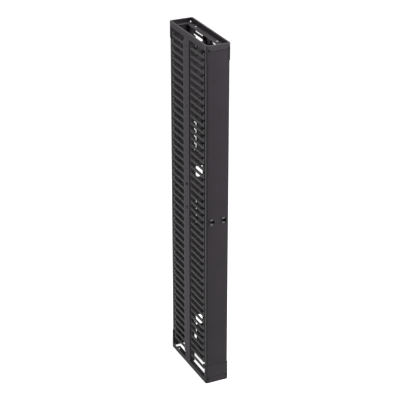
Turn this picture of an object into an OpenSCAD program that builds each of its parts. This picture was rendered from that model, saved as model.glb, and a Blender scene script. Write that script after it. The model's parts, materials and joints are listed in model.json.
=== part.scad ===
// Vertical cable manager, open on both long sides, with a door at the front and one at the back.
// Two folded steel posts and the panel between them stand between a base frame and a top frame.
// Each post carries two columns of moulded cable fingers, one reaching forwards and one back.
// Each door hangs on spring pins: a pinch latch on either edge draws that edge's two pins.
// +X is right, -Y is the front, +Z is up. The origin is on the floor, under the middle.

/* [Overall] */
// Width over the two side walls
body_w = 146; // [136:1:240]
// Depth over the front and rear caps
body_d = 488; // [476:1:640]
// Height of one rack unit, which is the pitch of the fingers
unit_h = 44.45; // [42:0.05:52]
// Rack units that one finger moulding spans
units_per_module = 15; // [8:1:15]

/* [Steel frame] */
// Thickness of the folded steel
sheet_t = 2; // [1.5:0.1:2.5]
// Width of each post, front to back
post_w = 64; // [56:1:72]
// Distance of the posts' centre line behind the middle
post_offset = 13; // [8:0.5:18]
// Depth that a post's flanges reach inwards
post_flange = 32; // [30:1:38]
// Depth of the lip at the inner edge of each post flange
post_lip = 8; // [5:1:12]
// Height of the top frame's side band
band_h = 32; // [28:1:32]
// Width of the folded rim round the top opening
rim_w = 10; // [6:1:14]
// Width of the flange under the side band
band_flange = 42; // [36:1:44]
// Height of the base rails' side
rail_h = 30; // [26:1:34]
// Width of the base rails' flange on the floor
floor_flange = 43; // [36:1:50]
// Height of the plate that laps a rail inside a post or a cap
lap_h = 26; // [22:1:30]
// Distance of the mid panel behind the posts' front faces
panel_back = 16; // [14:1:18]
// Height of the mid panel's lower edge above the floor
panel_base_z = 100; // [90:1:110]
// Depth of the folds along the mid panel's lower and upper edges
panel_fold = 14; // [8:1:18]
// Height of the tabs that hold the mid panel to the posts
tab_h = 56; // [40:1:60]

/* [Mid panel windows] */
// Width of the web between the windows of a pair
window_web = 34; // [24:1:40]
// Width of each window of a pair
window_w = 28; // [20:1:30]
// Height of the tall windows
tall_window_h = 200; // [150:1:220]
// Distance from the upper wide window up to the upper pair of tall windows
upper_window_gap = 98; // [60:1:110]
// Height of the middle pair of tall windows above the floor
middle_window_z = 932; // [925:1:940]
// Height of the lowest pair of windows above the floor
low_window_z = 163; // [160:1:165]
// Height of the lowest windows
low_window_h = 87; // [60:1:90]
// Distance from the top of the highest windows to the top of the posts
top_window_drop = 44; // [40:1:60]
// Height of the highest windows
top_window_h = 56; // [40:1:58]
// Width of the wide windows
wide_window_w = 76; // [60:1:84]
// Height of the wide windows
wide_window_h = 72; // [50:1:74]
// Height of the upper wide window above the floor
upper_wide_z = 1243; // [1240:1:1250]
// Distance from the lowest windows up to the lower wide window
low_wide_gap = 16; // [12:1:24]

/* [Holes] */
// Diameter of the small rack fixing holes in the posts
rack_hole_d = 9; // [6:0.5:12]
// Diameter of the large fixing holes in the posts
large_hole_d = 18; // [14:1:22]
// Distance of the first rack fixing hole below the top of the post
rack_hole_drop = 45; // [36:1:60]
// Distance between the two small rack fixing holes
rack_hole_gap = 356; // [300:1:400]
// Distance from the first small hole down to the upper large hole
large_hole_drop = 837; // [800:1:900]
// Distance between the two large holes
large_hole_gap = 148; // [100:1:200]
// Diameter of the floor anchor holes and of the cable tie holes
anchor_d = 13; // [10:0.5:16]
// Distance of the anchor holes inside the side walls
anchor_edge = 23; // [20:1:26]
// Distance of the anchor holes from the ends of the rails
anchor_end = 27; // [20:1:60]
// Distance of the cable tie holes in the top flanges inside the side walls
tie_edge = 18; // [16:1:22]
// Distance of the front cable tie holes from the ends of the rails
front_tie_end = 108; // [90:1:130]
// Distance of the rear cable tie holes from the ends of the rails
rear_tie_end = 56; // [40:1:70]

/* [Cable fingers] */
// Distance of the fingers' outer faces inside the side walls
finger_recess = 4; // [2:0.5:5]
// Height of a finger
finger_h = 14; // [10:0.5:16]
// Thickness of a finger
finger_t = 9; // [8:0.5:12]
// Radius of the rounded inner edges of a finger
finger_r = 3; // [1:0.5:4]
// Thickness of the tip and of the root fillets
tip_t = 6; // [5:0.5:7]
// Width of a front finger's upturned tip
front_tip_w = 12; // [10:1:16]
// Width of a rear finger's upturned tip
rear_tip_w = 18; // [12:1:20]
// Height of the tip above the finger's centre line
tip_rise = 27; // [23:1:28]
// Radius of the fillets where a finger leaves its strip
root_fillet = 7; // [4:0.5:9]
// Width of the strip that joins the front fingers
front_strip_w = 10; // [9:1:16]
// Width of the strip that joins the rear fingers
rear_strip_w = 20; // [14:1:22]
// Thickness of the strip that joins the fingers
strip_t = 8; // [6:0.5:10]
// Depth that the strip's mounting flange reaches inwards
strip_flange = 24; // [20:1:28]
// Gap between the front fingertips and the front door
front_tip_gap = 12; // [8:1:16]
// Gap between the rear fingertips and the rear door
rear_tip_gap = 6; // [5:1:12]
// Height of the lowest finger's centre line above the floor
first_finger_z = 86.5; // [84:0.5:92]
// Distance from the top finger's centre line to the top of the frame
last_finger_drop = 77.7; // [76:0.1:84]

/* [Caps] */
// Depth of the caps and of the door's edges
cap_d = 27; // [25:1:30]
// Radius of the caps' upright corners
cap_r = 12; // [8:0.5:13]
// Wall thickness of the caps
cap_wall = 2; // [2:0.1:3]
// Height of the top cap
top_cap_h = 31; // [31:1:34]
// Height of the base cap
base_cap_h = 36; // [32:1:40]
// Thickness of the plate that holds the hinge sockets
socket_t = 5; // [4:0.5:6]

/* [Doors] */
// Distance of the door's sides inside the width
door_inset = 3.5; // [2:0.5:5]
// Distance of the door's face behind the caps' face
face_inset = 1; // [0.5:0.1:1.5]
// Height that the face is bowed outwards
crown = 1.5; // [1:0.1:2]
// Thickness of the door's steel
door_t = 1.5; // [1:0.1:2]
// Distance from the door's side to the groove beside the face panel
edge_w = 6.3; // [5:0.1:8]
// Depth of the hems on the face panel
hem_d = 6; // [4:0.5:7]
// Inward return at the back of each door edge
edge_return = 22; // [16:1:26]
// Gap between a door and the caps above and below it
door_gap = 2; // [1.5:0.1:3]
// Height of the two blocks at the door's top corners
block_h = 66; // [50:1:80]
// Width of the blocks behind the face panel
block_w = 23; // [21:1:26]
// Height of the moulded foot across the door's bottom
foot_h = 78; // [60:1:90]
// Wall thickness of the foot
foot_wall = 3; // [2:0.5:4]
// Number of rod guides above the latch, and again below it
guides = 3; // [2:1:5]
// Height of a rod guide
guide_h = 16; // [12:1:20]

/* [Latches] */
// Diameter of the latch rods, whose ends are the hinge pins
rod_d = 8; // [6:0.5:9]
// Distance of the rods inside the side walls
rod_edge = 12; // [11.5:0.5:13]
// Distance of the rods behind the caps' face
rod_back = 14; // [13:0.5:15]
// Radial clearance of a rod in its guides and sockets
rod_play = 0.08; // [0.05:0.01:0.1]
// Length of a pin inside its socket
pin_reach = 9; // [8:0.5:9]
// Distance of the latches inside the side walls
latch_edge = 36; // [35:0.5:38]
// Width of the recess that holds a latch
cup_w = 32; // [28:1:32]
// Height of the recess that holds a latch
cup_h = 45; // [44:1:60]
// Depth of the latch recess
cup_d = 17; // [16:0.5:18]
// Wall thickness of the latch recess
cup_wall = 1.5; // [1.2:0.1:1.5]
// Distance of a finger pad from the middle of its latch
pad_z = 10; // [10:0.5:11]
// Height of a finger pad in the latch recess
pad_h = 10; // [9.5:0.5:11]
// Width of a finger pad
pad_w = 20; // [16:1:24]
// Wire thickness of the latch springs
spring_wire = 1; // [0.8:0.1:1]
// Turns in each latch spring
spring_turns = 4; // [3:1:4]
// Thickness of the leaf in the hinge sockets' snap clips
clip_t = 0.7; // [0.5:0.1:1]

/* [Screws] */
// Diameter of the screw shanks
screw_d = 4.8; // [4:0.1:5]
// Diameter of the button heads
screw_head_d = 9.5; // [8:0.5:10]
// Height of the button heads
screw_head_h = 2.7; // [2:0.1:3]

/* [Hidden] */
$fn = 48;

steel = [0.24, 0.24, 0.25];
moulded = [0.2, 0.2, 0.21];
bare_steel = [0.62, 0.63, 0.65];

modules_per_column = 3;
half_w = body_w / 2;
half_d = body_d / 2;
module_h = units_per_module * unit_h;
column_h = modules_per_column * module_h;
column_z = first_finger_z - unit_h / 2;
body_h = first_finger_z + column_h - unit_h + last_finger_drop;
rail_end_y = half_d - cap_d;
anchor_x = half_w - anchor_edge;
anchor_y = rail_end_y - anchor_end;
lap_t = sheet_t;
lap_len = 14;
flange_t = 4;
screw_play = 0.3;
seat_gap = 0.3;

post_front_y = post_offset - post_w / 2;
post_rear_y = post_offset + post_w / 2;
post_base_z = rail_h;
post_top_z = body_h - band_h;
rack_hole_z = post_top_z - rack_hole_drop;
panel_y = post_front_y + panel_back;
panel_top_z = post_top_z - lap_h - 6;
low_wide_z = low_window_z + low_window_h + low_wide_gap;
upper_window_z = upper_wide_z + wide_window_h + upper_window_gap;
top_window_z = post_top_z - top_window_drop - top_window_h;
tab_heights = [panel_base_z + 14, low_wide_z + 150, middle_window_z - 140, upper_window_z + tall_window_h + 130];
lap_screw_gap = post_w - 26;

socket_top_z = body_h - top_cap_h;
socket_base_z = base_cap_h;
door_top_z = socket_top_z - door_gap;
door_base_z = socket_base_z + door_gap;
block_z = door_top_z - block_h;
foot_top_z = door_base_z + foot_h;
latch_z = (door_top_z + door_base_z) / 2;
pin_top_z = socket_top_z + pin_reach;
pin_base_z = socket_base_z - pin_reach;

door_half_w = half_w - door_inset;
door_r = cap_r - face_inset;
door_face_y = -half_d + face_inset;
door_back_y = -half_d + cap_d;
panel_half_w = door_half_w - edge_w - 1;
rod_x = half_w - rod_edge;
rod_y = -half_d + rod_back;
socket_r = rod_d / 2 + rod_play;
latch_x = half_w - latch_edge;

arm_h = 3;
arm_w = 5;
hub_r = rod_d / 2 + 2;
hub_h = 6;
lug_h = 3;
travel = pin_reach + 0.5;
hub_z = pad_z + pad_h - arm_h;
spring_r = rod_d / 2 + 0.4;
corner_r = 10;

// ---- Shared shapes ----

// Plan of a cap: straight sides and back, and two rounded front corners
module cap_plan(half, face_y, back_y, r) {
    translate([-half, face_y + r]) square([2 * half, back_y - face_y - r]);
    translate([-half + r, face_y]) square([2 * (half - r), r + 1]);
    for (side = [-1, 1]) translate([side * (half - r), face_y + r]) circle(r);
}

// Plan of a door: a cap plan with its face bowed to a large arc
module door_plan(inset) {
    half_chord = door_half_w - door_r;
    bow_r = (half_chord * half_chord + crown * crown) / (2 * crown);
    intersection() {
        cap_plan(door_half_w - inset, door_face_y + inset, door_back_y, door_r - inset);
        translate([0, door_face_y + bow_r]) circle(bow_r - inset, $fn = 720);
    }
}

// Upright slab between two heights
module between(low_z, high_z) {
    translate([0, 0, low_z]) linear_extrude(high_z - low_z) children();
}

// Rectangle with rounded corners, centred
module rounded_rect(w, h, r) {
    square([w - 2 * r, h], center = true);
    square([w, h - 2 * r], center = true);
    for (sx = [-1, 1], sy = [-1, 1]) translate([sx * (w / 2 - r), sy * (h / 2 - r)]) circle(r);
}

// A front piece, or its copy turned round to the rear
module at_end(end) {
    rotate([0, 0, end == "rear" ? 180 : 0]) children();
}

// A left piece, or its mirror image on the right
module at_side(side) {
    mirror([side == "right" ? 1 : 0, 0, 0]) children();
}

// Round hole through a wall that faces left or right
module side_hole(x, y, z, d, depth) {
    translate([x, y, z]) rotate([0, 90, 0]) cylinder(h = depth, d = d, center = true);
}

// Round hole through a wall that faces forwards or back
module end_hole(x, y, z, d, depth) {
    translate([x, y, z]) rotate([90, 0, 0]) cylinder(h = depth, d = d, center = true);
}

// ---- Steel frame ----

// Heights of the screws that hold one finger moulding, above its lower end
function strip_screw_heights() = [for (n = [1, floor(units_per_module / 2), units_per_module - 1]) n * unit_h];

// Heights of the screws in all the mountings of one column
function column_screw_heights() = [for (m = [0 : modules_per_column - 1], h = strip_screw_heights())
    column_z + m * module_h + h];

strip_screw_x = half_w - finger_recess - (strip_t + strip_flange) / 2 - 1.5;

// Folded post: a web in the side wall, two flanges and two lips
module post(side) {
    color(steel) at_side(side) difference() {
        union() {
            between(post_base_z, post_top_z) {
                translate([-half_w, post_front_y]) square([sheet_t, post_w]);
                for (y = [post_front_y, post_rear_y - sheet_t])
                    translate([-half_w, y]) square([post_flange, sheet_t]);
                for (y = [post_front_y, post_rear_y - post_lip])
                    translate([-half_w + post_flange - sheet_t, y]) square([sheet_t, post_lip]);
            }
        }
        for (z = [rack_hole_z, rack_hole_z - rack_hole_gap])
            side_hole(-half_w, post_offset, z, rack_hole_d, 4 * sheet_t);
        for (z = [rack_hole_z - large_hole_drop, rack_hole_z - large_hole_drop - large_hole_gap])
            side_hole(-half_w, post_offset, z, large_hole_d, 4 * sheet_t);
        for (z = column_screw_heights(), y = [post_front_y + sheet_t / 2, post_rear_y - sheet_t / 2])
            end_hole(-strip_screw_x, y, z, screw_d + 2 * screw_play, 2 * sheet_t);
        for (z = tab_heights, level = [0.25, 0.75])
            side_hole(-half_w, post_offset, z + level * tab_h, screw_d + 2 * screw_play, 4 * sheet_t);
        for (z = [post_base_z + lap_h / 2, post_top_z - lap_h / 2], s = [-1, 1])
            side_hole(-half_w, post_offset + s * lap_screw_gap / 2, z, screw_d + 2 * screw_play, 4 * sheet_t);
    }
}

// Window with rounded corners through the mid panel, x and z at the middle of its lower edge
module window(x, z, w, h) {
    translate([x, panel_y + sheet_t / 2, z + h / 2]) rotate([90, 0, 0])
        linear_extrude(2 * sheet_t, center = true) rounded_rect(w, h, 8);
}

// Steel panel between the posts, with folded edges, a tab against each web, and cable windows
module mid_panel() {
    inner_w = half_w - sheet_t;
    tab_d = post_offset - panel_y + 13;
    window_x = (window_web + window_w) / 2;
    color(steel) difference() {
        union() {
            translate([-inner_w, panel_y, panel_base_z])
                cube([2 * inner_w, sheet_t, panel_top_z - panel_base_z]);
            for (z = [panel_base_z, panel_top_z - sheet_t])
                translate([-half_w + post_flange + 2, panel_y, z])
                    cube([body_w - 2 * post_flange - 4, panel_fold, sheet_t]);
            for (x = [-inner_w, inner_w - sheet_t], z = tab_heights)
                translate([x, panel_y, z]) cube([sheet_t, tab_d, tab_h]);
        }
        for (x = [-inner_w, inner_w], z = tab_heights, level = [0.25, 0.75])
            side_hole(x, post_offset, z + level * tab_h, screw_d, 4 * sheet_t);
        for (x = [-window_x, window_x]) {
            window(x, low_window_z, window_w, low_window_h);
            window(x, middle_window_z, window_w, tall_window_h);
            window(x, upper_window_z, window_w, tall_window_h);
            window(x, top_window_z, window_w, top_window_h);
        }
        for (z = [low_wide_z, upper_wide_z]) window(0, z, wide_window_w, wide_window_h);
    }
}

// Top side rail: a band with a rim above and a flange below, and plates that lap the post and caps
module top_rail(side) {
    band_z = body_h - band_h;
    color(steel) at_side(side) difference() {
        union() {
            translate([-half_w, -rail_end_y, band_z]) cube([sheet_t, 2 * rail_end_y, band_h]);
            translate([-half_w, -rail_end_y, body_h - sheet_t]) cube([rim_w, 2 * rail_end_y, sheet_t]);
            translate([-half_w, -rail_end_y, band_z]) cube([band_flange, 2 * rail_end_y, sheet_t]);
            translate([-half_w + sheet_t, post_front_y + sheet_t + 1, band_z - lap_h])
                cube([lap_t, post_w - 2 * sheet_t - 2, lap_h + sheet_t]);
            for (y = [-rail_end_y - lap_len, rail_end_y - lap_len])
                translate([-half_w + sheet_t, y, socket_top_z + socket_t + 1])
                    cube([lap_t, 2 * lap_len, body_h - sheet_t - 2 - socket_top_z - socket_t - 1]);
        }
        for (y = [front_tie_end - rail_end_y, rail_end_y - rear_tie_end])
            translate([-half_w + tie_edge, y, band_z]) cylinder(h = 4 * sheet_t, d = anchor_d, center = true);
        for (s = [-1, 1]) {
            side_hole(-half_w + sheet_t, post_offset + s * lap_screw_gap / 2, band_z - lap_h / 2,
                screw_d, 3 * sheet_t);
            side_hole(-half_w + 1.5 * sheet_t, s * (rail_end_y + lap_len / 2),
                socket_top_z + top_cap_h / 2 + 2, screw_d, 2 * sheet_t);
        }
    }
}

// Base side rail: a side web and a wide floor flange, with plates that lap the post and caps
module base_rail(side) {
    color(steel) at_side(side) difference() {
        union() {
            translate([-half_w, -rail_end_y, 0]) cube([sheet_t, 2 * rail_end_y, rail_h]);
            translate([-half_w, -rail_end_y, 0]) cube([floor_flange, 2 * rail_end_y, sheet_t]);
            translate([-half_w + sheet_t, post_front_y + sheet_t + 1, 0])
                cube([lap_t, post_w - 2 * sheet_t - 2, rail_h + lap_h]);
            for (y = [-rail_end_y - lap_len, rail_end_y - lap_len])
                translate([-half_w + sheet_t, y, sheet_t])
                    cube([lap_t, 2 * lap_len, socket_base_z - socket_t - sheet_t - 1]);
        }
        for (s = [-1, 1]) {
            side_hole(-half_w + sheet_t, post_offset + s * lap_screw_gap / 2, rail_h + lap_h / 2,
                screw_d, 3 * sheet_t);
            side_hole(-half_w + 1.5 * sheet_t, s * (rail_end_y + lap_len / 2), base_cap_h / 2 - 3,
                screw_d, 2 * sheet_t);
            translate([-anchor_x, s * anchor_y, 0])
                cylinder(h = 6 * sheet_t, d = anchor_d, center = true);
        }
    }
}

// Plan of the two hinge sockets. Each is a round seat with a slot to the front, curved about the
// other pin so that either side of the door can swing out
module socket_plan() {
    for (side = [-1, 1]) {
        translate([side * rod_x, rod_y]) circle(socket_r);
        intersection() {
            translate([-side * rod_x, rod_y]) difference() {
                circle(2 * rod_x + socket_r, $fn = 360);
                circle(2 * rod_x - socket_r, $fn = 360);
            }
            translate([side * rod_x - 2 * socket_r, -half_d - 1]) square([4 * socket_r, rod_back + 1]);
        }
    }
}

// Cast cap over one end of the top frame, with the upper hinge sockets in its plate
module top_cap(end) {
    color(moulded) at_end(end) difference() {
        union() {
            between(socket_top_z, body_h) difference() {
                cap_plan(half_w, -half_d, door_back_y, cap_r);
                cap_plan(half_w - cap_wall, -half_d + cap_wall, door_back_y + 1, cap_r - cap_wall);
            }
            between(socket_top_z, socket_top_z + socket_t) cap_plan(half_w, -half_d, door_back_y, cap_r);
            between(body_h - cap_wall, body_h) difference() {
                cap_plan(half_w, -half_d, door_back_y, cap_r);
                cap_plan(half_w - rim_w, -half_d + rim_w, door_back_y + 1, cap_r / 2);
            }
        }
        between(socket_top_z - 1, socket_top_z + socket_t + 1) socket_plan();
        between(socket_top_z - 1, pin_top_z + 1) intersection() {
            socket_plan();
            translate([-half_w, -half_d - 1]) square([body_w, cap_wall + 2]);
        }
        for (s = [-1, 1]) side_hole(s * half_w, -rail_end_y - lap_len / 2,
            socket_top_z + top_cap_h / 2 + 2, screw_d, 3 * cap_wall);
    }
}

// Cast cap over one end of the base frame, with the lower hinge sockets in its plate
module base_cap(end) {
    color(moulded) at_end(end) difference() {
        union() {
            between(0, socket_base_z) difference() {
                cap_plan(half_w, -half_d, door_back_y, cap_r);
                cap_plan(half_w - cap_wall, -half_d + cap_wall, door_back_y + 1, cap_r - cap_wall);
            }
            between(socket_base_z - socket_t, socket_base_z) cap_plan(half_w, -half_d, door_back_y, cap_r);
        }
        between(socket_base_z - socket_t - 1, socket_base_z + 1) socket_plan();
        between(pin_base_z - 4, socket_base_z + 1) intersection() {
            socket_plan();
            translate([-half_w, -half_d - 1]) square([body_w, cap_wall + 2]);
        }
        for (s = [-1, 1]) side_hole(s * half_w, -rail_end_y - lap_len / 2, base_cap_h / 2 - 3,
            screw_d, 3 * cap_wall);
    }
}

// Spring leaf round a hinge pin: its mouth faces forwards and is narrower than the pin
module hinge_clip() {
    leaf_r = socket_r + 0.25;
    clip_h = pin_reach - socket_t;
    linear_extrude(clip_h) {
        difference() {
            circle(leaf_r + clip_t);
            circle(leaf_r);
            polygon([[0, 0], [-2 * rod_d, -2 * rod_d], [2 * rod_d, -2 * rod_d]]);
        }
        translate([-3, leaf_r + clip_t / 2]) square([6, cap_d - rod_back - leaf_r - clip_t - 1]);
    }
}

// The four clips of one end, on the sockets' plates inside the caps
module hinge_clips(end) {
    color(bare_steel) at_end(end) for (side = [-1, 1]) {
        translate([side * rod_x, rod_y, socket_top_z + socket_t]) hinge_clip();
        translate([side * rod_x, rod_y, pin_base_z]) hinge_clip();
    }
}

// Button-head screw with a hex socket, its head's underside at the origin and its shank along -Z
module screw(shank) {
    difference() {
        cylinder(h = screw_head_h, d = screw_head_d);
        translate([0, 0, screw_head_h / 2]) cylinder(h = screw_head_h, d = 3.4, $fn = 6);
    }
    translate([0, 0, -shank]) cylinder(h = shank, d = screw_d - 0.2);
}

// All the screws of the frame, which are alike
module screws() {
    inner_x = half_w - sheet_t - lap_t;
    color(bare_steel) for (side = ["left", "right"]) at_side(side) {
        for (z = column_screw_heights()) {
            translate([-strip_screw_x, post_front_y - flange_t, z]) rotate([90, 0, 0])
                screw(flange_t + sheet_t + 3);
            translate([-strip_screw_x, post_rear_y + flange_t, z]) rotate([-90, 0, 0])
                screw(flange_t + sheet_t + 3);
        }
        for (z = tab_heights, level = [0.25, 0.75])
            translate([-inner_x, post_offset, z + level * tab_h]) rotate([0, 90, 0])
                screw(lap_t + sheet_t - 0.5);
        for (s = [-1, 1], z = [rail_h + lap_h / 2, body_h - band_h - lap_h / 2])
            translate([-inner_x, post_offset + s * lap_screw_gap / 2, z]) rotate([0, 90, 0])
                screw(lap_t + sheet_t - 0.5);
        for (s = [-1, 1], z = [base_cap_h / 2 - 3, socket_top_z + top_cap_h / 2 + 2])
            translate([-inner_x, s * (rail_end_y + lap_len / 2), z]) rotate([0, 90, 0])
                screw(lap_t + cap_wall - 0.5);
    }
}

// ---- Cable fingers ----

// Side view of one finger with its root fillets and upturned tip, along +X from the strip
module finger_outline(len, tip_w) {
    half_h = finger_h / 2;
    tip_x = len - tip_w;
    tip_r = tip_w / 3;
    translate([0, -half_h]) square([len - 4, finger_h]);
    translate([tip_x, -half_h + 4]) square([tip_w, tip_rise + half_h - 4 - tip_r]);
    translate([tip_x + tip_r, tip_rise - 2 * tip_r]) square([tip_w - 2 * tip_r, 2 * tip_r]);
    for (x = [tip_x + tip_r, len - tip_r]) translate([x, tip_rise - tip_r]) circle(tip_r);
    translate([len - 4, -half_h + 4]) circle(4);
    // Fillet between the finger and its tip
    translate([tip_x - root_fillet, half_h]) difference() {
        square([root_fillet + 1, root_fillet]);
        translate([0, root_fillet]) circle(root_fillet);
    }
    // Fillets at the root
    for (up = [0, 1]) mirror([0, up]) translate([-1, half_h]) difference() {
        square([root_fillet + 1, root_fillet]);
        translate([root_fillet + 1, root_fillet]) circle(root_fillet);
    }
}

// Section of a finger: flat outside, with rounded inner edges
module finger_section() {
    translate([0, -finger_h / 2]) square([finger_t - finger_r, finger_h]);
    translate([0, -finger_h / 2 + finger_r]) square([finger_t, finger_h - 2 * finger_r]);
    for (up = [-1, 1]) translate([finger_t - finger_r, up * (finger_h / 2 - finger_r)]) circle(finger_r);
}

// One moulding: a strip with a mounting flange, and a finger for each rack unit
module finger_moulding(len, tip_w, strip_w) {
    difference() {
        union() {
            linear_extrude(module_h) {
                translate([0, -strip_w]) square([strip_t, strip_w]);
                translate([0, -strip_w]) square([strip_flange, flange_t]);
                translate([strip_t - 1, -strip_w + flange_t - 1]) difference() {
                    square(5);
                    translate([5, 5]) circle(4);
                }
            }
            for (n = [0 : units_per_module - 1]) translate([0, 0, (n + 0.5) * unit_h]) {
                rotate([90, 0, 90]) linear_extrude(tip_t) finger_outline(len, tip_w);
                rotate([-90, 0, 0]) translate([0, 0, -1]) linear_extrude(len - tip_w + 1) finger_section();
            }
        }
        for (h = strip_screw_heights())
            end_hole(half_w - finger_recess - strip_screw_x, -strip_w + flange_t / 2, h,
                screw_d + 2 * screw_play, 2 * flange_t);
    }
}

// A moulding in its place: end and side name the column, and m counts from the base
module fingers(end, side, m) {
    front_len = half_d - cap_d - front_tip_gap + post_front_y - front_strip_w;
    rear_len = half_d - cap_d - rear_tip_gap - post_rear_y - rear_strip_w;
    color(moulded) at_side(side) translate([-half_w + finger_recess, 0, column_z + m * module_h]) {
        if (end == "rear") translate([0, post_rear_y + rear_strip_w, 0])
            finger_moulding(rear_len, rear_tip_w, rear_strip_w);
        if (end == "front") mirror([0, 1, 0]) translate([0, -post_front_y + front_strip_w, 0])
            finger_moulding(front_len, front_tip_w, front_strip_w);
    }
}

// ---- Doors ----

// Bowed face panel with a hem down each side, a folded top, and openings for the latch recesses
module door_panel(end) {
    color(steel) at_end(end) difference() {
        between(foot_top_z, door_top_z) {
            intersection() {
                difference() {
                    door_plan(0);
                    door_plan(door_t);
                }
                translate([-panel_half_w, -half_d]) square([2 * panel_half_w, hem_d]);
            }
            for (x = [-panel_half_w, panel_half_w - door_t])
                translate([x, door_face_y + crown + 1]) square([door_t, hem_d - crown - 1]);
        }
        for (s = [-1, 1]) translate([s * latch_x, 0, latch_z]) rotate([90, 0, 0])
            linear_extrude(half_d) rounded_rect(cup_w + 2 * cup_wall + 0.6, cup_h + 2 * cup_wall + 0.6,
                corner_r + cup_wall + 0.3);
    }
    color(steel) at_end(end) between(door_top_z - door_t, door_top_z)
        translate([-half_w + 4 + block_w, door_face_y + door_t])
            square([2 * (half_w - 4 - block_w), cap_d - 8]);
}

// Folded edge beside the panel: it wraps the door's corner and houses the latch rods
module door_edge(end, side) {
    left_side = end == "rear" ? "right" : "left";
    inner_x = -door_half_w + edge_w;
    color(steel) at_end(end) at_side(side == left_side ? "left" : "right") between(foot_top_z, block_z) {
        intersection() {
            difference() {
                door_plan(0);
                door_plan(door_t);
            }
            translate([-half_w, -half_d]) square([half_w + inner_x, cap_d]);
        }
        translate([inner_x - door_t, door_face_y + crown + 1]) square([door_t, hem_d - crown - 1]);
        translate([-door_half_w, door_back_y - door_t]) square([edge_return, door_t]);
    }
}

// Plan of a corner block: flush with the caps outside the groove, and narrower behind the panel
module block_plan() {
    intersection() {
        cap_plan(half_w, -half_d, -half_d + cap_d - 5, cap_r);
        translate([-half_w, -half_d]) square([door_inset + edge_w + 0.2, cap_d]);
    }
    translate([-half_w + 4, door_face_y + hem_d]) square([block_w, cap_d - hem_d - 6]);
}

// The two moulded blocks that carry the upper pins at the door's top corners
module door_blocks(end) {
    color(moulded) at_end(end) for (side = ["left", "right"]) at_side(side) difference() {
        between(block_z, door_top_z) block_plan();
        translate([-rod_x, rod_y, block_z - 1]) cylinder(h = block_h + 2, r = socket_r);
    }
}

// Moulded foot across the door's bottom, with a boss for each lower pin
module door_foot(end) {
    back_y = -half_d + cap_d - 5;
    color(moulded) at_end(end) difference() {
        union() {
            between(door_base_z, foot_top_z) difference() {
                cap_plan(half_w, -half_d, back_y, cap_r);
                cap_plan(half_w - foot_wall, -half_d + foot_wall, back_y + 1, cap_r - foot_wall);
            }
            for (z = [door_base_z, foot_top_z - foot_wall]) between(z, z + foot_wall)
                cap_plan(half_w, -half_d, back_y, cap_r);
            for (s = [-1, 1]) translate([s * rod_x, rod_y, socket_base_z])
                cylinder(h = foot_h + door_gap, r = hub_r);
            for (x = [-20, 20]) translate([x - foot_wall / 2, -half_d + 1, door_base_z])
                cube([foot_wall, back_y + half_d - 1, foot_h]);
        }
        for (s = [-1, 1]) translate([s * rod_x, rod_y, socket_base_z - 1])
            cylinder(h = foot_h + door_gap + 2, r = socket_r);
    }
}

// Heights of the rod guides
function guide_heights() = [for (n = [1 : guides], s = [-1, 1])
    let (reach = s > 0 ? block_z - latch_z : latch_z - foot_top_z)
    latch_z + s * n * reach / (guides + 0.6)];

// Moulded guides that hold the rods inside the door's edges
module door_guides(end) {
    guide_front_y = door_face_y + hem_d;
    color(moulded) at_end(end) for (side = ["left", "right"], z = guide_heights()) at_side(side)
        between(z - guide_h / 2, z + guide_h / 2) difference() {
            intersection() {
                translate([-door_half_w, guide_front_y])
                    square([14 + door_t, door_back_y - door_t - guide_front_y]);
                door_plan(door_t + seat_gap);
            }
            translate([-rod_x, rod_y]) circle(socket_r);
        }
}

// ---- Latches ----

// Moulded recess for the two finger pads, with a lug beside the rods for the springs to push on
module latch_cup() {
    outer_w = cup_w + 2 * cup_wall;
    outer_h = cup_h + 2 * cup_wall;
    back_y = -half_d + cup_d + cup_wall;
    difference() {
        union() {
            translate([-latch_x, back_y, 0]) rotate([90, 0, 0]) linear_extrude(cup_d + cup_wall - 1)
                rounded_rect(outer_w, outer_h, corner_r + cup_wall);
            translate([-latch_x, -half_d + face_inset + 0.1, 0]) rotate([90, 0, 0]) linear_extrude(1)
                rounded_rect(outer_w + 6, outer_h + 5, corner_r + cup_wall + 2.5);
            translate([-rod_x - hub_r, rod_y - 4, -lug_h])
                cube([rod_x - latch_x - cup_w / 2 + hub_r - 1, 8, 2 * lug_h]);
            for (up = [0, 1]) mirror([0, 0, up]) translate([-rod_x, rod_y, 0])
                cylinder(h = lug_h + 2.5, r = rod_d / 2 - 0.7);
        }
        translate([-latch_x, back_y - cup_wall, 0]) rotate([90, 0, 0]) linear_extrude(cup_d + 5)
            rounded_rect(cup_w, cup_h, corner_r);
        // Windows that the pads' arms pass through
        for (up = [0, 1]) mirror([0, 0, up])
            translate([-latch_x - cup_w / 2 - 4, rod_y - arm_w / 2 - 0.4, hub_z - travel - 0.5])
                cube([8, arm_w + 0.8, travel + arm_h + 1]);
    }
}

// The two latch recesses of one door
module latch_cups(end) {
    color(moulded) at_end(end) for (side = ["left", "right"]) at_side(side)
        translate([0, 0, latch_z]) latch_cup();
}

// A latch part, placed for one end and side; level is 1 for the upper half and 0 for the lower
module at_latch(end, side, level) {
    left_side = end == "rear" ? "right" : "left";
    at_end(end) at_side(side == left_side ? "left" : "right")
        translate([0, 0, latch_z]) mirror([0, 0, 1 - level]) children();
}

// Steel rod from its hub to the end of its pin, with a turned cone on the nose
module latch_rod(end, side, level) {
    nose = 1.5;
    length = (level == 1 ? pin_top_z - latch_z : latch_z - pin_base_z) - hub_z;
    color(bare_steel) at_latch(end, side, level) translate([-rod_x, rod_y, hub_z]) {
        cylinder(h = length - nose, d = rod_d);
        translate([0, 0, length - nose]) cylinder(h = nose, d1 = rod_d, d2 = rod_d - 2 * nose);
    }
}

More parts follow.
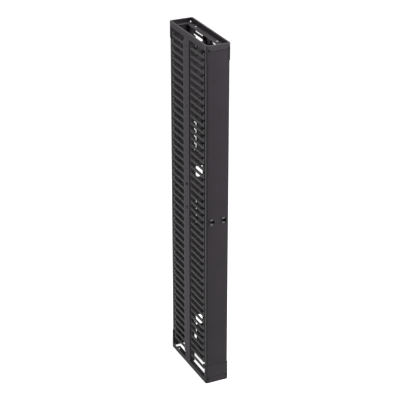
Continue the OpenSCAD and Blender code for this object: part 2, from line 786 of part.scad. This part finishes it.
// Finger pad in the recess, with grip ridges and an arm to the hub on its rod
module latch_pad(end, side, level) {
    front_y = -half_d + 3;
    color(bare_steel) at_latch(end, side, level) difference() {
        union() {
            translate([-latch_x - pad_w / 2, front_y, pad_z]) cube([pad_w, cup_d - 3.5, pad_h]);
            for (n = [0 : 2]) translate([-latch_x - pad_w / 2, front_y + 2 + 3.5 * n, pad_z + pad_h])
                rotate([0, 90, 0]) cylinder(h = pad_w, r = 0.8, $fn = 24);
            translate([-rod_x, rod_y - arm_w / 2, hub_z]) cube([rod_x - latch_x, arm_w, arm_h]);
            translate([-rod_x, rod_y, hub_z]) cylinder(h = hub_h, r = hub_r);
        }
        translate([-rod_x, rod_y, hub_z - 1]) cylinder(h = hub_h + 2, r = rod_d / 2 + 0.05);
    }
}

// Point on a spring's centre line, t turns up
function helix(t, r, pitch) = [r * cos(360 * t), r * sin(360 * t), t * pitch];

// Helical spring of round wire, swept as rings of points along the helix
module coil_spring(r, wire, turns, length) {
    steps = 12;
    sides = 6;
    rings = turns * steps;
    pitch = (length - wire) / turns;
    points = [for (i = [0 : rings]) let (t = i / steps, c = helix(t, r, pitch)) for (k = [0 : sides - 1])
        let (a = 360 * k / sides, out = wire / 2 * cos(a), up = wire / 2 * sin(a))
        [c[0] + out * cos(360 * t), c[1] + out * sin(360 * t), c[2] + up + wire / 2]];
    walls = [for (i = [0 : rings - 1], k = [0 : sides - 1]) let (n = (k + 1) % sides)
        [i * sides + k, i * sides + n, (i + 1) * sides + n, (i + 1) * sides + k]];
    polyhedron(points, concat([[for (k = [0 : sides - 1]) sides - 1 - k]], walls,
        [[for (k = [0 : sides - 1]) rings * sides + k]]));
}

// The two springs of one latch, from the lug to the hubs above and below
module latch_springs(end, side) {
    length = hub_z - lug_h - 2 * seat_gap;
    color(bare_steel) for (level = [0, 1]) at_latch(end, side, level)
        translate([-rod_x, rod_y, lug_h + seat_gap])
            coil_spring(spring_r, spring_wire, spring_turns, length);
}

// ---- The assembly ----

post("left");  // post_left
post("right");  // post_right
mid_panel();
top_rail("left");  // top_rail_left
top_rail("right");  // top_rail_right
top_cap("front");  // top_cap_front
top_cap("rear");  // top_cap_rear
base_rail("left");  // base_rail_left
base_rail("right");  // base_rail_right
base_cap("front");  // base_cap_front
base_cap("rear");  // base_cap_rear
screws();
for (end = ["front", "rear"]) {
    hinge_clips(end);
    door_panel(end);
    door_blocks(end);
    door_foot(end);
    door_guides(end);
    latch_cups(end);
}
for (end = ["front", "rear"], side = ["left", "right"]) {
    door_edge(end, side);
    latch_rod(end, side, 1);
    latch_rod(end, side, 0);
    latch_pad(end, side, 1);
    latch_pad(end, side, 0);
    latch_springs(end, side);
}
for (end = ["front", "rear"], side = ["left", "right"], m = [0 : modules_per_column - 1])
    fingers(end, side, m);
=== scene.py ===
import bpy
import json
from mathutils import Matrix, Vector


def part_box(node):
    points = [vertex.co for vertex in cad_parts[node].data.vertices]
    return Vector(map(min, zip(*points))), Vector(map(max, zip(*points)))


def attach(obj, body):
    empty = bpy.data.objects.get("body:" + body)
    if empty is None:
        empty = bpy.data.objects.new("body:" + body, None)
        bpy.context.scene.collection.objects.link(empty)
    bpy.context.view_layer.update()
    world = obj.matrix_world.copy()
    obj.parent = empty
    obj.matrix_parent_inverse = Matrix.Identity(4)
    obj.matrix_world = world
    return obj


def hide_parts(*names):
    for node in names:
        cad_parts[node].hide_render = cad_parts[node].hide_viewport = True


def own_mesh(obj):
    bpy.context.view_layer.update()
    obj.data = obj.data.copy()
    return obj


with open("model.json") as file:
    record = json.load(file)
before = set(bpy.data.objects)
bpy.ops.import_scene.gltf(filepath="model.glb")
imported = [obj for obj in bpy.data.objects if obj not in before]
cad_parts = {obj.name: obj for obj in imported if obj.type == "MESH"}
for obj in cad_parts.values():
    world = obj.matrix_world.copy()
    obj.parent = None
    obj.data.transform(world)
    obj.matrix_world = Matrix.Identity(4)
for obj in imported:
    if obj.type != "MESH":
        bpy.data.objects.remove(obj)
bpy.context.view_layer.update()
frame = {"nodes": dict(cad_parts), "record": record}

import json
import math
import bmesh
import bpy
from mathutils import Matrix, Vector

nodes = frame["nodes"]
scene = bpy.context.scene
scene.view_settings.view_transform = "Standard"


# ---- Posts, rails and mid panel ----
# The frame is folded from two millimetre steel and powder coated charcoal before assembly, so the
# coat's fine orange peel runs over every fold. It is thinner and a little paler along the edges.

def shader_group(name, inputs, outputs):
    group = bpy.data.node_groups.new(name, "ShaderNodeTree")
    for label, kind, value in inputs:
        socket = group.interface.new_socket(name=label, in_out="INPUT", socket_type=kind)
        socket.default_value = value
    for label, kind in outputs:
        group.interface.new_socket(name=label, in_out="OUTPUT", socket_type=kind)
    return group, group.nodes.new("NodeGroupInput"), group.nodes.new("NodeGroupOutput")


def add_math(tree, operation, a, b=0.5, clamp=False):
    step = tree.nodes.new("ShaderNodeMath")
    step.operation = operation
    step.use_clamp = clamp
    for socket, value in zip(step.inputs, (a, b)):
        if isinstance(value, bpy.types.NodeSocket):
            tree.links.new(value, socket)
        else:
            socket.default_value = value
    return step.outputs[0]


def add_noise(tree, position, scale, detail=3.0, roughness=0.5):
    noise = tree.nodes.new("ShaderNodeTexNoise")
    noise.inputs["Detail"].default_value = detail
    noise.inputs["Roughness"].default_value = roughness
    if isinstance(scale, bpy.types.NodeSocket):
        tree.links.new(scale, noise.inputs["Scale"])
    else:
        noise.inputs["Scale"].default_value = scale
    tree.links.new(position, noise.inputs["Vector"])
    return noise.outputs["Fac"]


# Softened edges: a shading normal rounded by a radius, and a mask that is 1 along the edges
wear_patch_scale, wear_patch_cap, wear_gain = 46.0, 0.62, 6.0
edges, edges_in, edges_out = shader_group(
    "softened edges",
    [("Wear", "NodeSocketFloat", 0.5), ("Radius", "NodeSocketFloat", 0.0009)],
    [("Normal", "NodeSocketVector"), ("Mask", "NodeSocketFloat")])
rounding = edges.nodes.new("ShaderNodeBevel")
rounding.samples = 6
edges.links.new(edges_in.outputs["Radius"], rounding.inputs["Radius"])
flat = edges.nodes.new("ShaderNodeNewGeometry")
facing = edges.nodes.new("ShaderNodeVectorMath")
facing.operation = "DOT_PRODUCT"
edges.links.new(rounding.outputs["Normal"], facing.inputs[0])
edges.links.new(flat.outputs["True Normal"], facing.inputs[1])
turned = add_math(edges, "SUBTRACT", 1.0, facing.outputs["Value"], clamp=True)
place = edges.nodes.new("ShaderNodeTexCoord").outputs["Object"]
patchy = add_math(edges, "SMOOTH_MIN", add_noise(edges, place, wear_patch_scale), wear_patch_cap)
rim_line = add_math(edges, "MULTIPLY", turned, wear_gain, clamp=True)
rubbed = add_math(edges, "MULTIPLY", rim_line, patchy)
edges.links.new(add_math(edges, "MULTIPLY", rubbed, edges_in.outputs["Wear"], clamp=True),
                edges_out.inputs["Mask"])
edges.links.new(rounding.outputs["Normal"], edges_out.inputs["Normal"])

# Surface grain: a fine texture for the height, and broad cloudy patches for colour and gloss
cloud_scale, speck_scale = 7.0, 160.0
grain, grain_in, grain_out = shader_group(
    "surface grain",
    [("Scale", "NodeSocketFloat", 900.0)],
    [("Height", "NodeSocketFloat"), ("Clouds", "NodeSocketFloat"), ("Specks", "NodeSocketFloat")])
place = grain.nodes.new("ShaderNodeTexCoord").outputs["Object"]
fine = add_noise(grain, place, grain_in.outputs["Scale"], 2.0)
grain.links.new(fine, grain_out.inputs["Height"])
grain.links.new(add_noise(grain, place, cloud_scale, 4.0, 0.6), grain_out.inputs["Clouds"])
grain.links.new(add_noise(grain, place, speck_scale, 2.0), grain_out.inputs["Specks"])

# Painted seam shade: a mask that is 1 in corners and seams, where light doesn't reach, to darken the
# colour there as painted shade
nook_reach = 0.012
seam_shade, seam_shade_in, seam_shade_out = shader_group(
    "seam grime",
    [("Amount", "NodeSocketFloat", 0.6)],
    [("Mask", "NodeSocketFloat")])
nook = seam_shade.nodes.new("ShaderNodeAmbientOcclusion")
nook.samples = 6
nook.inputs["Distance"].default_value = nook_reach
closed = add_math(seam_shade, "SUBTRACT", 1.0, nook.outputs["AO"], clamp=True)
seam_shade.links.new(add_math(seam_shade, "MULTIPLY", closed, seam_shade_in.outputs["Amount"], clamp=True),
                seam_shade_out.inputs["Mask"])

# Settled dust: a thin pale film on what faces upwards
dust_scale, dust_from, dust_gain = 60.0, 0.55, 2.2
dust, dust_in, dust_out = shader_group(
    "settled dust",
    [("Amount", "NodeSocketFloat", 0.3)],
    [("Mask", "NodeSocketFloat")])
upward = dust.nodes.new("ShaderNodeSeparateXYZ")
dust.links.new(dust.nodes.new("ShaderNodeNewGeometry").outputs["Normal"], upward.inputs[0])
place = dust.nodes.new("ShaderNodeTexCoord").outputs["Object"]
level = add_math(dust, "SUBTRACT", upward.outputs["Z"], dust_from, clamp=True)
film = add_math(dust, "MULTIPLY", add_math(dust, "MULTIPLY", level, dust_gain),
                add_noise(dust, place, dust_scale, 4.0))
dust.links.new(add_math(dust, "MULTIPLY", film, dust_in.outputs["Amount"], clamp=True),
               dust_out.inputs["Mask"])


def add_group(tree, group, value):
    step = tree.nodes.new("ShaderNodeGroup")
    step.node_tree = group
    step.inputs[0].default_value = value
    return step


def add_mix(tree, factor, a, b):
    mix = tree.nodes.new("ShaderNodeMix")
    mix.data_type = "RGBA"
    tree.links.new(factor, mix.inputs["Factor"])
    for socket, value in ((mix.inputs["A"], a), (mix.inputs["B"], b)):
        if isinstance(value, bpy.types.NodeSocket):
            tree.links.new(value, socket)
        else:
            socket.default_value = (*value, 1.0)
    return mix.outputs["Result"]


# dust_grey is the settled dust; the near black and its amount darken corners and seams as painted shade
dust_grey, seam_shade_black, seam_shade_amount = (0.32, 0.31, 0.30), (0.006, 0.006, 0.006), 0.9
cloud_gain, cloud_shift, gloss_spread, relief_strength = 2.4, -0.7, 0.16, 0.35


def coated(name, dark, light, worn, roughness, wear, dusty, scale, depth, metallic=0.0, specular=0.10,
           radius=0.0009):
    """A finish with cloudy colour between dark and light, grain, worn edges, a little dust and painted
    shade in corners and seams.
    """
    material = bpy.data.materials.new(name)
    material.use_nodes = True
    tree = material.node_tree
    surface = tree.nodes["Principled BSDF"]
    surface.inputs["Metallic"].default_value = metallic
    surface.inputs["Specular IOR Level"].default_value = specular
    skin = add_group(tree, grain, scale)
    rim = add_group(tree, edges, wear)
    rim.inputs["Radius"].default_value = radius
    shaded_seams = add_group(tree, seam_shade, seam_shade_amount)
    film = add_group(tree, dust, dusty)
    spread = add_math(tree, "MULTIPLY_ADD", skin.outputs["Clouds"], cloud_gain, clamp=True)
    spread.node.inputs[2].default_value = cloud_shift
    tone = add_mix(tree, spread, dark, light)
    tone = add_mix(tree, rim.outputs["Mask"], tone, worn)
    tone = add_mix(tree, film.outputs["Mask"], tone, dust_grey)
    # painted shade: corners and seams darkened towards near black
    tone = add_mix(tree, shaded_seams.outputs["Mask"], tone, seam_shade_black)
    tree.links.new(tone, surface.inputs["Base Color"])
    gloss = add_math(tree, "MULTIPLY_ADD", skin.outputs["Specks"], gloss_spread, clamp=True)
    gloss.node.inputs[2].default_value = roughness - gloss_spread / 2
    tree.links.new(add_math(tree, "ADD", gloss, add_math(tree, "MULTIPLY", film.outputs["Mask"], 0.5),
                            clamp=True), surface.inputs["Roughness"])
    relief = tree.nodes.new("ShaderNodeBump")
    relief.inputs["Strength"].default_value = relief_strength
    relief.inputs["Distance"].default_value = depth
    tree.links.new(skin.outputs["Height"], relief.inputs["Height"])
    tree.links.new(rim.outputs["Normal"], relief.inputs["Normal"])
    tree.links.new(relief.outputs["Normal"], surface.inputs["Normal"])
    return material


def dress(material, *names):
    for name in names:
        nodes[name].data.materials.clear()
        nodes[name].data.materials.append(material)


frame_coat = coated("charcoal powder coat", (0.040, 0.035, 0.040), (0.047, 0.041, 0.047),
                    (0.075, 0.068, 0.075), 0.50, 0.5, 0.10, 1400.0, 0.0002, radius=0.002)
dress(frame_coat, "post_left", "post_right", "mid_panel", "top_rail_left", "top_rail_right",
      "base_rail_left", "base_rail_right")


# ---- Window guards ----
# Vinyl edge guard round each cable window of the mid panel, so that the cut edge can't chafe a
# cable. It is a U section: two flanges on the panel's faces and a rounded web over the edge.

MM = 0.001
guard_lap, guard_web, guard_wall = 4.0 * MM, 2.8 * MM, 1.0 * MM
guard_slack = 0.01 * MM
guard_edge_round = 0.35 * MM
window_corner = 8.0 * MM
box_margin, box_depth_margin = 3 * MM, 7 * MM    # how far each stated opening box is off the metal
guard_vinyl = coated("guard vinyl", (0.022, 0.021, 0.022), (0.030, 0.029, 0.030), (0.060, 0.058, 0.060),
                     0.42, 0.4, 0.15, 500.0, 0.0002)


def pick_pieces(*pieces):
    """Selects these pieces and nothing else, with the first of them active."""
    bpy.ops.object.select_all(action="DESELECT")
    for piece in pieces:
        piece.select_set(True)
    bpy.context.view_layer.objects.active = pieces[0]


def pick_faces(piece, chosen):
    """Selects the faces of a piece in edit mode for which chosen(face) is true, and only those."""
    bpy.ops.mesh.select_all(action="DESELECT")
    bpy.ops.mesh.select_mode(type="FACE")
    mesh = bmesh.from_edit_mesh(piece.data)
    for face in mesh.faces:
        if chosen(face):
            face.select = True
    mesh.select_flush_mode()
    bmesh.update_edit_mesh(piece.data)


def finish_piece(piece, name, material, round_by, body):
    """Places a modelled piece: edges rounded, smooth shaded, dressed, and riding on its body."""
    piece.name = name
    pick_pieces(piece)
    bpy.ops.object.transform_apply(location=True, rotation=True, scale=True)
    bpy.ops.object.mode_set(mode="EDIT")
    bpy.ops.mesh.select_all(action="SELECT")
    bpy.ops.mesh.normals_make_consistent(inside=False)
    bpy.ops.object.mode_set(mode="OBJECT")
    soft = piece.modifiers.new("rounded edges", "BEVEL")
    soft.width = round_by
    soft.segments = 2
    soft.limit_method = "ANGLE"
    soft.angle_limit = math.radians(50)
    bpy.ops.object.modifier_apply(modifier=soft.name)
    bpy.ops.object.shade_smooth_by_angle(angle=math.radians(40))
    piece.data.materials.clear()
    piece.data.materials.append(material)
    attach(piece, body)


def join_pieces(parts):
    pick_pieces(*parts)
    bpy.ops.object.join()
    return parts[0]


def copy_piece(piece, shift, turn=0.0):
    """A copy of a modelled piece, with its own mesh, moved by shift and turned about Z."""
    pick_pieces(piece)
    bpy.ops.object.duplicate(linked=False)
    copy = bpy.context.object
    copy.location = shift
    copy.rotation_euler = (0, 0, turn)
    return copy


def window_guard(low, high, front, back):
    """A guard round the window from low to high (x and z), in a panel from front to back (y)."""
    middle = ((low[0] + high[0]) / 2, front, (low[1] + high[1]) / 2)
    bpy.ops.object.select_all(action="DESELECT")
    bpy.ops.mesh.primitive_plane_add(size=1, location=middle, rotation=(math.pi / 2, 0, 0))
    guard = bpy.context.object
    bpy.ops.object.transform_apply(location=True, rotation=True, scale=True)
    bpy.ops.object.mode_set(mode="EDIT")
    bpy.ops.mesh.select_all(action="SELECT")
    bpy.ops.transform.resize(value=(high[0] - low[0] + 2 * guard_lap, 1,
                                    high[1] - low[1] + 2 * guard_lap), center_override=middle)
    bpy.ops.mesh.bevel(offset=window_corner + guard_lap, segments=5, affect="VERTICES")
    bpy.ops.mesh.select_all(action="SELECT")
    bpy.ops.mesh.inset(thickness=guard_lap + guard_slack, use_even_offset=True)
    bpy.ops.mesh.inset(thickness=guard_web, use_even_offset=True)
    bpy.ops.mesh.delete(type="FACE")
    bpy.ops.mesh.select_all(action="SELECT")
    bpy.ops.mesh.extrude_region_move(TRANSFORM_OT_translate={"value": (0, -guard_wall, 0)})
    pick_faces(guard, lambda face: low[0] < face.calc_center_median().x < high[0]
               and low[1] < face.calc_center_median().z < high[1]
               and abs(face.calc_center_median().y - front) < guard_slack
               and abs(face.normal.y) > 0.9)
    bpy.ops.mesh.extrude_region_move(TRANSFORM_OT_translate={"value": (0, (back - front) / 2, 0)})
    bpy.ops.mesh.delete(type="FACE")
    bpy.ops.mesh.select_all(action="SELECT")
    bpy.ops.mesh.duplicate()
    bpy.ops.transform.resize(value=(1, -1, 1), center_override=(0, (front + back) / 2, 0))
    bpy.ops.mesh.select_all(action="SELECT")
    bpy.ops.mesh.remove_doubles(threshold=2 * guard_slack)
    bpy.ops.mesh.normals_make_consistent(inside=False)
    bpy.ops.object.mode_set(mode="OBJECT")
    return guard


openings = {entry["name"]: entry["box_m"] for entry in frame["record"]["physics"]["openings"]}
guards, modelled = [], {}
for name, (low, high) in openings.items():
    if name.endswith("window") or "_window_" in name:
        size = tuple(round(high[axis] - low[axis], 4) for axis in (0, 2))
        if size in modelled:
            first, start = modelled[size]
            guards.append(copy_piece(first, (low[0] - start[0], 0, low[2] - start[2])))
        else:
            guards.append(window_guard((low[0] - box_margin, low[2] - box_margin),
                                       (high[0] + box_margin, high[2] + box_margin),
                                       low[1] + box_depth_margin, high[1] - box_depth_margin))
            modelled[size] = (guards[-1], low)
finish_piece(join_pieces(guards), "window_guards", guard_vinyl, guard_edge_round, "frame")


# ---- Rail guards ----
# The same vinyl U section, pushed over the inner edges of the two top flanges, where cables leave
# through the open top. Each strip runs between the two caps and holds by its own grip.

cap_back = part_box("top_cap_front")[1][1]
edge_x = openings["top_opening_front"][1][0] + box_margin
flange_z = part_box("post_left")[1][2]
flange_t = 2 * MM
strip_length = -2 * cap_back - 6 * MM
strips = []
for side in (1, -1):
    bpy.ops.object.select_all(action="DESELECT")
    bpy.ops.mesh.primitive_cube_add(size=1, location=(side * (edge_x - guard_web / 2), 0,
                                                        flange_z + flange_t / 2))
    strip = bpy.context.object
    bpy.ops.object.mode_set(mode="EDIT")
    bpy.ops.mesh.select_all(action="SELECT")
    bpy.ops.transform.resize(value=(guard_web, strip_length, flange_t + 2 * guard_wall))
    bpy.ops.object.mode_set(mode="OBJECT")
    bpy.ops.object.transform_apply(location=True, rotation=True, scale=True)
    bpy.ops.object.mode_set(mode="EDIT")
    for height in (flange_z, flange_z + flange_t):
        bpy.ops.mesh.select_all(action="SELECT")
        bpy.ops.mesh.bisect(plane_co=(0, 0, height), plane_no=(0, 0, 1))
    pick_faces(strip, lambda face: face.normal.x * side > 0.9
               and abs(face.calc_center_median().z - flange_z - flange_t / 2) > flange_t / 2)
    bpy.ops.mesh.extrude_region_move(TRANSFORM_OT_translate={"value": (side * guard_lap, 0, 0)})
    bpy.ops.object.mode_set(mode="OBJECT")
    strips.append(strip)
finish_piece(join_pieces(strips), "rail_guards", guard_vinyl, guard_edge_round, "frame")


# ---- Caps ----
# Moulded end caps of the base and the top frame, in glass-filled nylon coloured like the coat; the top
# caps take a lighter copy of it, a painted highlight for the light on their rounded upper edges. Each is
# screwed to the lap plates of the two side rails.

cap_nylon = coated("cap nylon", (0.034, 0.030, 0.035), (0.041, 0.036, 0.042), (0.066, 0.060, 0.067),
                   0.40, 0.4, 0.12, 800.0, 0.0003, radius=0.005)
# painted highlight: the top caps' nylon is a lighter copy of the cap nylon
top_cap_highlight_nylon = coated("top cap nylon", (0.044, 0.040, 0.045), (0.053, 0.048, 0.054), (0.085, 0.078, 0.086),
                   0.38, 0.4, 0.12, 800.0, 0.0003, radius=0.006)
dress(top_cap_highlight_nylon, "top_cap_front", "top_cap_rear")
dress(cap_nylon, "base_cap_front", "base_cap_rear")


# ---- Cable fingers ----
# Injection moulded nylon, matt and a shade lighter than the steel. Three mouldings stand end to end
# in each column, screwed to the flanges of the post.

finger_nylon = coated("finger nylon", (0.038, 0.036, 0.038), (0.047, 0.044, 0.047),
                      (0.075, 0.072, 0.075), 0.42, 0.5, 0.10, 700.0, 0.0003)
dress(finger_nylon, *[f"fingers_{end}_{side}_{m}" for end in ("front", "rear")
                      for side in ("left", "right") for m in (1, 2, 3)])


# ---- Doors ----
# A bowed steel panel with a folded edge at either side, powder coated with a faint warm cast. The
# corner blocks and the foot are nylon, riveted to the panel and the edges.

door_coat = coated("door powder coat", (0.031, 0.027, 0.032), (0.037, 0.032, 0.038),
                   (0.066, 0.060, 0.067), 0.38, 0.5, 0.08, 1500.0, 0.0002)
guide_nylon = coated("guide nylon", (0.020, 0.020, 0.020), (0.030, 0.030, 0.030),
                     (0.050, 0.050, 0.050), 0.55, 0.3, 0.10, 700.0, 0.0003)
for end in ("front", "rear"):
    dress(door_coat, f"{end}_door_panel", f"{end}_door_edge_left", f"{end}_door_edge_right")
    dress(cap_nylon, f"{end}_door_blocks", f"{end}_door_foot")
    dress(guide_nylon, f"{end}_door_guides")


# ---- Door rivets ----
# Blind rivets through the doors' side walls, two into each rod guide: a low domed head with the
# hole that the broken-off stem leaves in its middle.

rivet_alloy = coated("painted rivet", (0.045, 0.041, 0.046), (0.060, 0.055, 0.061), (0.14, 0.135, 0.14),
                     0.36, 0.8, 0.05, 500.0, 0.0001)
head_r, head_h, stem_depth, half_pitch = 2.6 * MM, 0.9 * MM, 0.6 * MM, 4 * MM
guide_least, guide_most = 12 * MM, 20 * MM    # a rod guide's height lies between these

bpy.ops.object.select_all(action="DESELECT")
bpy.ops.mesh.primitive_cylinder_add(vertices=20, radius=head_r, depth=head_h,
                                    location=(-head_h / 2, 0, 0), rotation=(0, -math.pi / 2, 0))
head = bpy.context.object
bpy.ops.object.transform_apply(location=True, rotation=True, scale=True)
bpy.ops.object.mode_set(mode="EDIT")
pick_faces(head, lambda face: face.normal.x < -0.9)
bpy.ops.transform.resize(value=(1, 0.72, 0.72), center_override=(0, 0, 0))
bpy.ops.mesh.inset(thickness=1.0 * MM)
bpy.ops.mesh.extrude_region_move(TRANSFORM_OT_translate={"value": (stem_depth, 0, 0)})
bpy.ops.object.mode_set(mode="OBJECT")

wall_x = abs(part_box("front_door_edge_left")[0][0])
for end, turn in (("front", 1), ("rear", -1)):
    guides = nodes[f"{end}_door_guides"].data
    heights = sorted({round(vertex.co.z, 4) for vertex in guides.vertices})
    middles = sorted({round((a + b) / 2, 4) for a, b in zip(heights, heights[1:])
                      if guide_least < b - a < guide_most})
    row_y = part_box(f"{end}_door_guides")[1 if turn > 0 else 0][1] - turn * half_pitch
    heads = [copy_piece(head, (side * wall_x, row_y, height + step), math.pi * (side > 0))
             for height in middles for side in (-1, 1) for step in (-half_pitch, half_pitch)]
    finish_piece(join_pieces(heads), f"{end}_door_rivets", rivet_alloy, 0.25 * MM, f"{end}_door")
bpy.data.objects.remove(head)


# ---- Latches ----
# Each recess is a moulded cup set into the panel, near the panel's own colour but a little lighter, as
# painted light against the shade in the recess. The two finger pads in it are a lighter grey moulding,
# lightened further as a painted highlight, on bright zinc plated rods.

lightened_cup_plastic = coated("latch plastic", (0.042, 0.038, 0.043), (0.051, 0.047, 0.052),
                     (0.072, 0.067, 0.073), 0.38, 0.4, 0.08, 600.0, 0.0002)
highlight_pad_plastic = coated("pad plastic", (0.130, 0.123, 0.131), (0.155, 0.147, 0.156),
                     (0.240, 0.230, 0.241), 0.30, 0.8, 0.05, 600.0, 0.0002)
zinc = coated("zinc plate", (0.42, 0.42, 0.43), (0.55, 0.55, 0.56), (0.7, 0.7, 0.7), 0.34, 0.5, 0.05,
              500.0, 0.0001, metallic=1.0)
for end in ("front", "rear"):
    dress(lightened_cup_plastic, f"{end}_latch_cups")
    for side in ("left", "right"):
        dress(highlight_pad_plastic, f"{end}_{side}_upper_pad", f"{end}_{side}_lower_pad")
        dress(zinc, f"{end}_{side}_upper_rod", f"{end}_{side}_lower_rod", f"{end}_{side}_springs")


# ---- Latch springs ----
# Two compression springs in each latch, one to a rod, wound from zinc plated wire. Each stands on the
# wall in the middle of its cup. In the real latch each is squeezed as its pad is drawn in; here each is a
# rigid half of the springs part, cut at its middle, riding on the door.

for end in ("front", "rear"):
    for side in ("left", "right"):
        low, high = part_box(f"{end}_{side}_springs")
        centre = [(a + b) / 2 for a, b in zip(low, high)]
        both = nodes[f"{end}_{side}_springs"]
        for half, up in (("upper", 1), ("lower", -1)):
            spring = bpy.data.objects.new(f"{end}_{side}_{half}_spring", both.data.copy())
            scene.collection.objects.link(spring)
            pick_pieces(spring)
            bpy.ops.object.mode_set(mode="EDIT")
            bpy.ops.mesh.select_all(action="SELECT")
            bpy.ops.mesh.remove_doubles(threshold=0.001 * MM)
            bpy.ops.mesh.bisect(plane_co=centre, plane_no=(0, 0, up), clear_inner=True)
            bpy.ops.object.mode_set(mode="OBJECT")
            bpy.ops.object.shade_smooth_by_angle(angle=math.radians(50))
            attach(spring, f"{end}_door")
            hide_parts(f"{end}_{side}_springs")
            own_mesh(spring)


# ---- Clips and screws ----
# Bright plated spring leaves in the hinge sockets, and button-head screws in dark zinc that hold
# the caps, the rails and the finger mouldings.

dark_zinc = coated("dark zinc", (0.10, 0.10, 0.105), (0.16, 0.16, 0.165), (0.35, 0.35, 0.36), 0.38,
                   0.8, 0.05, 500.0, 0.0001, metallic=1.0)
dress(zinc, "hinge_clips_front", "hinge_clips_rear")
dress(dark_zinc, "screws")


# ---- Studio ----
# A pale floor that keeps the shadow, four soft lamps to the right, the left and above, and a
# surround that is white where it is seen or mirrored.

def seen_or_mirrored(tree):
    """1 for rays from the camera and for those that a gloss or a clear part sends on."""
    path = tree.nodes.new("ShaderNodeLightPath")
    onward = add_math(tree, "MAXIMUM", path.outputs["Is Glossy Ray"], path.outputs["Is Transmission Ray"])
    return add_math(tree, "MAXIMUM", path.outputs["Is Camera Ray"], onward)


def emitting(material, colour, strength):
    glow = material.node_tree.nodes.new("ShaderNodeEmission")
    glow.inputs["Color"].default_value = (*colour, 1.0)
    glow.inputs["Strength"].default_value = strength
    return glow.outputs[0]


bpy.ops.object.select_all(action="DESELECT")
floor_size = 40
bpy.ops.mesh.primitive_plane_add(size=floor_size, location=(0, 0, 0))
floor = bpy.context.object
floor.name = "studio_floor"
paper = bpy.data.materials.new("floor paper")
paper.use_nodes = True
tree = paper.node_tree
surface = tree.nodes["Principled BSDF"]
surface.inputs["Base Color"].default_value = (0.60, 0.60, 0.60, 1)
surface.inputs["Roughness"].default_value = 0.9
white = emitting(paper, (1, 1, 1), 0.85)
blend = tree.nodes.new("ShaderNodeMixShader")
whitened = tree.nodes.new("ShaderNodeAddShader")
tree.links.new(surface.outputs[0], whitened.inputs[0])
tree.links.new(white, whitened.inputs[1])
tree.links.new(seen_or_mirrored(tree), blend.inputs["Fac"])
tree.links.new(surface.outputs[0], blend.inputs[1])
tree.links.new(whitened.outputs[0], blend.inputs[2])
tree.links.new(blend.outputs[0], tree.nodes["Material Output"].inputs["Surface"])
floor.data.materials.append(paper)

world = bpy.data.worlds.new("surround")
scene.world = world
world.use_nodes = True
tree = world.node_tree
surround = tree.nodes["Background"]
surround.inputs["Color"].default_value = (0.80, 0.80, 0.80, 1)
surround.inputs["Strength"].default_value = 0.42
backdrop = tree.nodes.new("ShaderNodeBackground")
backdrop.inputs["Color"].default_value = (1, 1, 1, 1)
backdrop.inputs["Strength"].default_value = 1.0
choose = tree.nodes.new("ShaderNodeMixShader")
tree.links.new(seen_or_mirrored(tree), choose.inputs["Fac"])
tree.links.new(surround.outputs[0], choose.inputs[1])
tree.links.new(backdrop.outputs[0], choose.inputs[2])
tree.links.new(choose.outputs[0], tree.nodes["World Output"].inputs["Surface"])


def lamp(name, position, target, size, watts):
    light = bpy.data.lights.new(name, "AREA")
    light.shape = "RECTANGLE"
    light.size, light.size_y = size
    light.energy = watts
    holder = bpy.data.objects.new(name, light)
    scene.collection.objects.link(holder)
    holder.location = position
    holder.rotation_euler = (Vector(target) - Vector(position)).to_track_quat("-Z", "Y").to_euler()


lamp("key lamp", (4.0, -2.5, 4.4), (0, 0, 1.8), (2.0, 2.4), 118)
lamp("side lamp", (-3.2, -0.5, 4.6), (0, 0, 1.9), (2.4, 2.4), 46)
lamp("low lamp", (2.5, -2.3, 2.3), (0, 0, 2.3), (0.8, 0.8), 84)
lamp("top lamp", (0.2, -0.6, 4.6), (0, 0, 1.0), (2.0, 2.0), 66)


# ---- Camera ----
# High in front of the left corner, looking down at the manager. The lens is long, so the posts
# stay almost parallel.

camera = bpy.data.cameras.new("camera")
camera.lens = 131.87
camera.sensor_width = 36
camera.clip_end = 100
viewer = bpy.data.objects.new("camera", camera)
scene.collection.objects.link(viewer)
right = Vector((0.9029, -0.4299, 0.0)).normalized()
back = Vector((-0.3883, -0.8155, 0.4293)).normalized()
up = back.cross(right).normalized()
turn = Matrix((right, up, back)).transposed().to_4x4()
standpoint = (-3.2934, -6.9246, 4.7381)
viewer.matrix_world = Matrix.Translation(standpoint) @ turn
scene.camera = viewer
